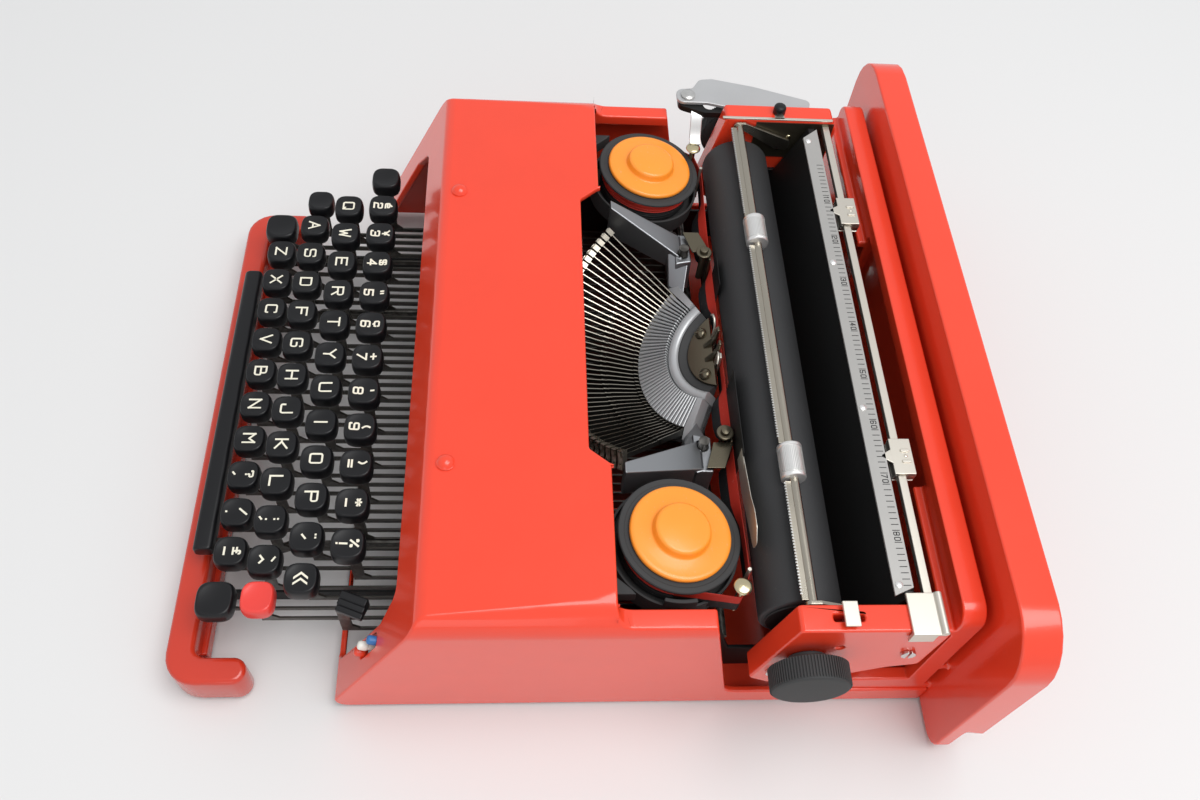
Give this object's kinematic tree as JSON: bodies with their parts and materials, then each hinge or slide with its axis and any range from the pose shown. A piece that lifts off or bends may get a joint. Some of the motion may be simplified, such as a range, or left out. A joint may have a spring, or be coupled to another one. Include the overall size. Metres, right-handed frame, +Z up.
{
  "type": "portable typewriter",
  "caption": "Portable typewriter with a moulded red hood, black keys, a ribbon carriage and a deep back plate that closes its case.",
  "frame": {"origin": "middle of the footprint on the table", "axes": "+X to the typist's right, +Y away from the typist, +Z up"},
  "size_m": [0.343, 0.352, 0.115],
  "materials": {
    "red_plastic": "glossy moulded ABS",
    "red_key": "glossy moulded key cap",
    "black_plastic": "glossy black key caps",
    "black_satin": "satin black",
    "orange_plastic": "glossy orange",
    "white_plastic": "ivory knob",
    "blacked_steel": "black lacquered steel",
    "steel": "bright steel",
    "nickel": "nickel plate",
    "grey_casting": "grey cast metal",
    "rubber": "matt rubber",
    "ribbon_fabric": "inked woven ribbon"
  },
  "bodies": {
    "machine": {"body_shell": "red_plastic", "front_bar": "red_plastic", "back_plate": "red_plastic", "side_frames": "blacked_steel", "cross_rods": "steel", "key_comb": "blacked_steel", "spool_cups": "black_satin", "spool_posts": "steel", "carriage_rail": "steel", "bell": "steel", "feet": "rubber", "shell_screws": "steel", "top_bumpers": "red_plastic"},
    "handle": {"carry_handle": "black_satin"},
    "basket": {"type_segment": "grey_casting", "typebars": "steel", "type_guide": "nickel"},
    "typebar": {"typebar_h": "steel"},
    "key_h": {"key_h": "black_plastic"},
    "number_row": {"number_keys": "black_plastic"},
    "upper_row": {"upper_keys": "black_plastic"},
    "home_row": {"home_keys": "black_plastic"},
    "lower_row": {"lower_keys": "black_plastic"},
    "shift": {"shift_keys": "black_plastic"},
    "shift_lock": {"shift_lock_key": "black_plastic"},
    "space": {"space_bar": "black_plastic"},
    "backspace": {"backspace_key": "black_plastic"},
    "tab": {"tab_key": "red_key"},
    "margin_release": {"margin_release_key": "black_plastic"},
    "tab_set": {"tab_set_key": "black_plastic"},
    "colour": {"colour_selector": "white_plastic"},
    "spool_left": {"ribbon_spool_left": "black_satin", "spool_cap_left": "orange_plastic"},
    "spool_right": {"ribbon_spool_right": "black_satin", "spool_cap_right": "orange_plastic"},
    "ribbon_lift": {"ribbon": "ribbon_fabric", "ribbon_vibrator": "steel"},
    "carriage": {"carriage_frame": "blacked_steel", "end_plate_left": "red_plastic", "end_plate_right": "red_plastic", "paper_table": "blacked_steel", "paper_scale": "grey_casting", "margin_rail": "nickel", "carriage_screws": "steel"},
    "platen_roll": {"platen": "rubber", "platen_shaft": "steel", "knob_left": "black_satin", "knob_right": "black_satin", "ratchet_wheel": "steel"},
    "feed": {"feed_rollers": "rubber"},
    "bail": {"paper_bail": "nickel"},
    "roller_left": {"bail_roller_left": "nickel"},
    "roller_right": {"bail_roller_right": "nickel"},
    "stop_left": {"margin_stop_left": "nickel"},
    "stop_right": {"margin_stop_right": "nickel"},
    "return": {"return_lever": "steel"},
    "line_space": {"line_space_selector": "black_satin"},
    "paper_release": {"paper_release": "nickel"},
    "carriage_release": {"carriage_release": "nickel"},
    "drum": {"spring_drum": "blacked_steel"}
  },
  "joints": [
    {"name": "number_row_press", "type": "hinge", "parent": "machine", "child": "number_row", "pos_m": [0, 0.06, 0.024], "axis": [1, 0, 0], "range_deg": [0, 4.4], "stiffness_Nm_per_rad": 4, "springref_deg": -11.46},
    {"name": "upper_row_press", "type": "hinge", "parent": "machine", "child": "upper_row", "pos_m": [0, 0.06, 0.024], "axis": [1, 0, 0], "range_deg": [0, 3.9], "stiffness_Nm_per_rad": 4, "springref_deg": -11.46},
    {"name": "home_row_press", "type": "hinge", "parent": "machine", "child": "home_row", "pos_m": [0, 0.06, 0.024], "axis": [1, 0, 0], "range_deg": [0, 3.55], "stiffness_Nm_per_rad": 4, "springref_deg": -11.46},
    {"name": "lower_row_press", "type": "hinge", "parent": "machine", "child": "lower_row", "pos_m": [0, 0.06, 0.024], "axis": [1, 0, 0], "range_deg": [0, 3.25], "stiffness_Nm_per_rad": 4, "springref_deg": -11.46},
    {"name": "key_h_press", "type": "hinge", "parent": "machine", "child": "key_h", "pos_m": [0, 0.06, 0.024], "axis": [1, 0, 0], "range_deg": [0, 3.55], "stiffness_Nm_per_rad": 0.8, "springref_deg": -11.46},
    {"name": "typebar_strike", "type": "hinge", "parent": "basket", "child": "typebar", "pos_m": [0.00111, 0.03399, 0.04688], "axis": [-0.9997, -0.019, -0.0138], "range_deg": [0, 120]},
    {"name": "shift_lock_press", "type": "hinge", "parent": "machine", "child": "shift_lock", "pos_m": [0, 0.06, 0.024], "axis": [1, 0, 0], "range_deg": [0, 3], "stiffness_Nm_per_rad": 0.6, "springref_deg": -11.46},
    {"name": "space_press", "type": "hinge", "parent": "machine", "child": "space", "pos_m": [0, 0.06, 0.024], "axis": [1, 0, 0], "range_deg": [0, 1.75], "stiffness_Nm_per_rad": 1.5, "springref_deg": -11.46},
    {"name": "backspace_press", "type": "hinge", "parent": "machine", "child": "backspace", "pos_m": [0, 0.06, 0.024], "axis": [1, 0, 0], "range_deg": [0, 3.9], "stiffness_Nm_per_rad": 0.6, "springref_deg": -11.46},
    {"name": "tab_press", "type": "hinge", "parent": "machine", "child": "tab", "pos_m": [0, 0.06, 0.024], "axis": [1, 0, 0], "range_deg": [0, 3.5], "stiffness_Nm_per_rad": 0.6, "springref_deg": -11.46},
    {"name": "margin_release_press", "type": "hinge", "parent": "machine", "child": "margin_release", "pos_m": [0, 0.06, 0.024], "axis": [1, 0, 0], "range_deg": [0, 4.4], "stiffness_Nm_per_rad": 0.6, "springref_deg": -11.46},
    {"name": "tab_set_press", "type": "hinge", "parent": "machine", "child": "tab_set", "pos_m": [0, 0.06, 0.024], "axis": [1, 0, 0], "range_deg": [0, 2.8], "stiffness_Nm_per_rad": 0.6, "springref_deg": -11.46},
    {"name": "basket_shift", "type": "slide", "parent": "machine", "child": "basket", "axis": [0, 0, -1], "range_m": [0, 0.0065], "stiffness_N_per_m": 1500, "springref_m": -0.006},
    {"name": "shift_press", "type": "hinge", "parent": "machine", "child": "shift", "pos_m": [0, 0.06, 0.024], "axis": [1, 0, 0], "range_deg": [0, 3.25]},
    {"name": "ribbon_lift", "type": "slide", "parent": "machine", "child": "ribbon_lift", "axis": [0, 0, 1], "range_m": [0, 0.006]},
    {"name": "colour_select", "type": "slide", "parent": "machine", "child": "colour", "axis": [0, 0.4414, 0.8973], "range_m": [-0.0035, 0.0035]},
    {"name": "spool_left_turn", "type": "hinge", "parent": "machine", "child": "spool_left", "pos_m": [-0.1045, 0.0405, 0.084], "axis": [0, 0.1219, 0.9925], "continuous": true},
    {"name": "spool_right_turn", "type": "hinge", "parent": "machine", "child": "spool_right", "pos_m": [0.1045, 0.0405, 0.084], "axis": [0, 0.1219, 0.9925], "continuous": true},
    {"name": "carriage_travel", "type": "slide", "parent": "machine", "child": "carriage", "axis": [1, 0, 0], "range_m": [-0.13, 0.095]},
    {"name": "platen_turn", "type": "hinge", "parent": "carriage", "child": "platen_roll", "pos_m": [0.01, 0.088, 0.0765], "axis": [1, 0, 0], "continuous": true},
    {"name": "feed_turn", "type": "hinge", "parent": "carriage", "child": "feed", "pos_m": [0.01, 0.088, 0.0532], "axis": [1, 0, 0], "continuous": true},
    {"name": "bail_lift", "type": "hinge", "parent": "carriage", "child": "bail", "pos_m": [0.01, 0.112, 0.088], "axis": [-1, 0, 0], "range_deg": [0, 60]},
    {"name": "bail_roller_left_turn", "type": "hinge", "parent": "bail", "child": "roller_left", "pos_m": [0.01, 0.087, 0.0991], "axis": [1, 0, 0], "continuous": true},
    {"name": "bail_roller_right_turn", "type": "hinge", "parent": "bail", "child": "roller_right", "pos_m": [0.01, 0.087, 0.0991], "axis": [1, 0, 0], "continuous": true},
    {"name": "margin_left_set", "type": "slide", "parent": "carriage", "child": "stop_left", "axis": [1, 0, 0], "range_m": [-0.04, 0.06]},
    {"name": "margin_right_set", "type": "slide", "parent": "carriage", "child": "stop_right", "axis": [1, 0, 0], "range_m": [-0.06, 0.045]},
    {"name": "return_pull", "type": "hinge", "parent": "carriage", "child": "return", "pos_m": [-0.144, 0.062, 0.098], "axis": [0, 0, 1], "range_deg": [0, 100]},
    {"name": "line_space_set", "type": "hinge", "parent": "carriage", "child": "line_space", "pos_m": [-0.1283, 0.108, 0.104], "axis": [0, 0, 1], "range_deg": [-30, 30]},
    {"name": "paper_release_pull", "type": "hinge", "parent": "carriage", "child": "paper_release", "pos_m": [0.15, 0.099, 0.086], "axis": [1, 0, 0], "range_deg": [0, 12]},
    {"name": "carriage_release_lift", "type": "hinge", "parent": "carriage", "child": "carriage_release", "pos_m": [0.15, 0.1344, 0.1046], "axis": [-1, 0, 0], "range_deg": [0, 30]},
    {"name": "drum_turn", "type": "hinge", "parent": "machine", "child": "drum", "pos_m": [0.1, 0.134, 0.026], "axis": [0, 1, 0], "range_deg": [-450, 325]},
    {"name": "handle_swing", "type": "hinge", "parent": "machine", "child": "handle", "pos_m": [0, 0.171, 0.094], "axis": [1, 0, 0], "range_deg": [0, 100]}
  ],
  "couplings": [
    {"joint": "typebar_strike", "follows": "key_h_press", "ratio": 33.8},
    {"joint": "ribbon_lift", "follows": "key_h_press", "m_per_rad": 0.09674},
    {"joint": "shift_press", "follows": "basket_shift", "rad_per_m": 8.7179},
    {"joint": "spool_right_turn", "follows": "spool_left_turn", "ratio": 1},
    {"joint": "feed_turn", "follows": "platen_turn", "ratio": -2.8333},
    {"joint": "drum_turn", "follows": "carriage_travel", "rad_per_m": 58.824}
  ]
}
